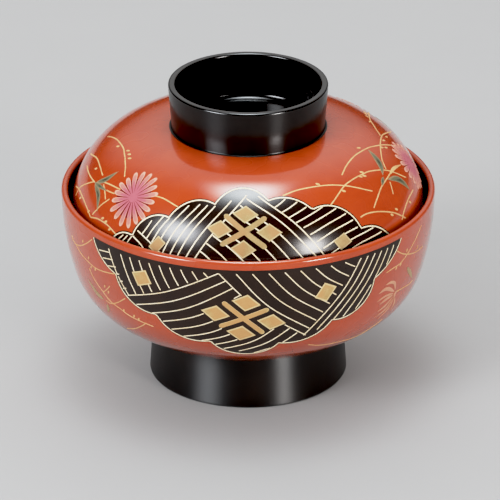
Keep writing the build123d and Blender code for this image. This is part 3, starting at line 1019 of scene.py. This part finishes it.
bowlFan = [
    ([(54.1, 21), (53, 17.8), (50.3, 16.4), (48, 16.6)], 1.1),
    ([(53.8, 21.3), (49, 18.3), (45.2, 18.9)], 1.4),
    ([(53.6, 21.9), (49.1, 21.2), (45.2, 22.1)], 1.0),
    ([(53.7, 22.5), (49.9, 22.8), (46.9, 23.8)], 1.2),
    ([(54, 23.2), (50.1, 25.7), (46.8, 26.7)], 0.9),
    ([(54.4, 23.7), (51.4, 27.4), (46.4, 29)], 0.9),
    ([(54.8, 24.1), (53, 28.1), (49.1, 30.9)], 0.8),
    ([(55.2, 24.3), (56.1, 27.2), (55.5, 29.7)], 0.8),
    ([(55.4, 21.5), (54.6, 22.6), (54.8, 24.6)], 1.3),
]

petals, grass, leaves = spray(lidTop, [lidLeftSpray, lidEdgeGrass, lidRightSpray])
grass.append(blade(lidTop, *lidGoldSprout, 0))
drawn("lid_chrysanthemums", petals, "petal", "lid")
drawn("lid_gold_grass", grass, "grass", "lid")
drawn("lid_leaves", leaves, "leaf", "lid")
petals, grass, leaves = spray(bowlSide, [bowlSpray])
for spin in bowlSpray.spins:
    petals += [blade(bowlSide, points, width, spin) for points, width in bowlFan]
drawn("bowl_chrysanthemums", petals, "faded", "bowl")
drawn("bowl_gold_grass", grass, "grass", "bowl")
drawn("bowl_leaves", leaves, "fadedGreen", "bowl")
print("flowers and grasses done")


# Stage, lights and camera

stageLook = Look(
    colour=paint(151, 150, 148), shade=paint(148, 147, 145), roughness=0.75, scatter=0.1,
    depth=0.02,
    half=2.6,  # metres from the middle to the sheet's sides
)


def stageFloor():
    # One square sheet on z = 0
    look = stageLook
    corners = look.half * np.array([(-1, -1, 0), (1, -1, 0), (1, 1, 0), (-1, 1, 0)])
    mesh = bpy.data.meshes.new("stage_floor")
    mesh.from_pydata(corners.tolist(), [], [(0, 1, 2, 3)])
    f = Finish("stage paper")
    fibres = f.noise(40, 4, 0.6)
    colour = f.mix(look.colour, look.shade, fibres)
    rough = look.roughness + look.scatter * fibres
    mesh.materials.append(f.surface(colour, rough, f.bump(f.noise(1.2, 3), look.depth)))
    floor = inScene("stage_floor", mesh)


def stand(item, azimuth, elevation, distance, aim):
    # Puts a light or camera at a distance from the aim, at an azimuth from the front, and points it there
    turn = math.radians(azimuth)
    rise = math.radians(elevation)
    way = Vector((math.sin(turn) * math.cos(rise), -math.cos(turn) * math.cos(rise), math.sin(rise)))
    item.location = Vector(aim) + way * distance
    item.rotation_euler = way.to_track_quat("Z", "Y").to_euler()


# Each light: azimuth, elevation, distance, width, height, watts, colour, soften, and True for sheen only
lightLook = Look(
    overhead=(180, 89.5, 1.3, 0.95, 1.2, 35.0, (0.92, 1, 1.05), 2.5),
    sheen=(180, 89.5, 1.31, 0.95, 1.2, 45.0, (0.92, 1, 1.05), 2.5, True),
    back=(179, 47, 1.8, 3.6, 2.8, 30.0, (1, 1, 1), 1.0),
    left=(-49, 27, 1.5, 0.8, 0.75, 48.0, (0.96, 1, 1.06), 0.9),
    right=(41, 11.5, 1.5, 0.48, 0.6, 35.0, (1, 0.98, 0.97), 0.9),
    aim=(0, 0, 0.05),
    world=paint(226, 226, 230),
    worldStrength=1.45,
)


def softbox(name, azimuth, elevation, distance, width, height, watts, colour, soften, sheenOnly=False):
    # An area light aimed at the bowl, its glow (sin(pi u) sin(pi v))^soften, where u and v run across it.
    # With sheenOnly it shows in the gloss alone and casts no shadow.
    data = bpy.data.lights.new(name, "AREA")
    data.shape = "RECTANGLE"
    data.size = width
    data.size_y = height
    data.energy = watts
    data.color = colour
    f = Finish(name, data)
    u = f.node("SeparateXYZ", None, {0: f.node("NewGeometry", out="Parametric")})
    v = Wire(f, u.socket.node.outputs[1])
    sines = [f.node("Math", {"operation": "SINE"}, {0: math.pi * place}) for place in (u, v)]
    glow = u.calc("POWER", sines[0] * sines[1], soften)
    shader = f.node("Emission", None, {"Color": f.mix((0, 0, 0, 1), (1, 1, 1, 1), glow)})
    f.node("OutputLight", None, {"Surface": shader})
    light = inScene(name, data)
    stand(light, azimuth, elevation, distance, lightLook.aim)
    light.visible_diffuse = not sheenOnly


stageFloor()
for lightName in ("overhead", "sheen", "back", "left", "right"):
    softbox(lightName + "_softbox", *lightLook[lightName])
world = bpy.data.worlds.new("studio")
world.use_nodes = True
background = world.node_tree.nodes["Background"].inputs
background["Color"].default_value = lightLook.world
background["Strength"].default_value = lightLook.worldStrength
world.cycles_visibility.glossy = False
bpy.context.scene.world = world

cameraLook = Look(
    distance=2.0, elevation=24.9, aim=(0.00059, 0, 0.04166),
    pixels=6147.0,  # focal length in the photo's pixels
    frame=500,  # the photo's width in pixels
    sensor=36.0,  # mm
)
filmLook = Look(
    black=0.016, knee=0.45, room=0.45, white=2.0,
    below=(0.5, 1),  # where the curve has points, as shares of the knee
    above=(0.3, 0.4, 0.55, 0.75, 1),  # and as shares of white
)


def filmCurve():
    # The picture's tones as on slide film: black is taken off, tones are even up to the knee, and above it
    # they close in on knee + room as knee + room (1 - e^(-(tone - knee) / room))
    look = filmLook
    settings = bpy.context.scene.view_settings
    settings.view_transform = "Standard"
    settings.use_curve_mapping = True
    levels = settings.curve_mapping
    levels.black_level = (look.black,) * 3
    levels.white_level = (look.black + look.white,) * 3
    below = look.knee * np.array(look.below)
    above = look.white * np.array(look.above)
    tone = np.concatenate([below, above])
    over = np.maximum(tone - look.knee, 0)
    seen = np.minimum(tone, look.knee) + look.room * (1 - np.exp(-over / look.room))
    curve = levels.curves[3]
    curve.points[-1].location = (1, float(seen[-1]))
    for place, level in zip(tone[:-1] / look.white, seen[:-1]):
        curve.points.new(float(place), float(level))
    levels.update()


cameraData = bpy.data.cameras.new("camera")
cameraData.sensor_width = cameraLook.sensor
cameraData.lens = cameraLook.pixels / cameraLook.frame * cameraLook.sensor
camera = inScene("camera", cameraData)
stand(camera, 0, cameraLook.elevation, cameraLook.distance, cameraLook.aim)
bpy.context.scene.camera = camera
filmCurve()
print("stage, lights and camera done")
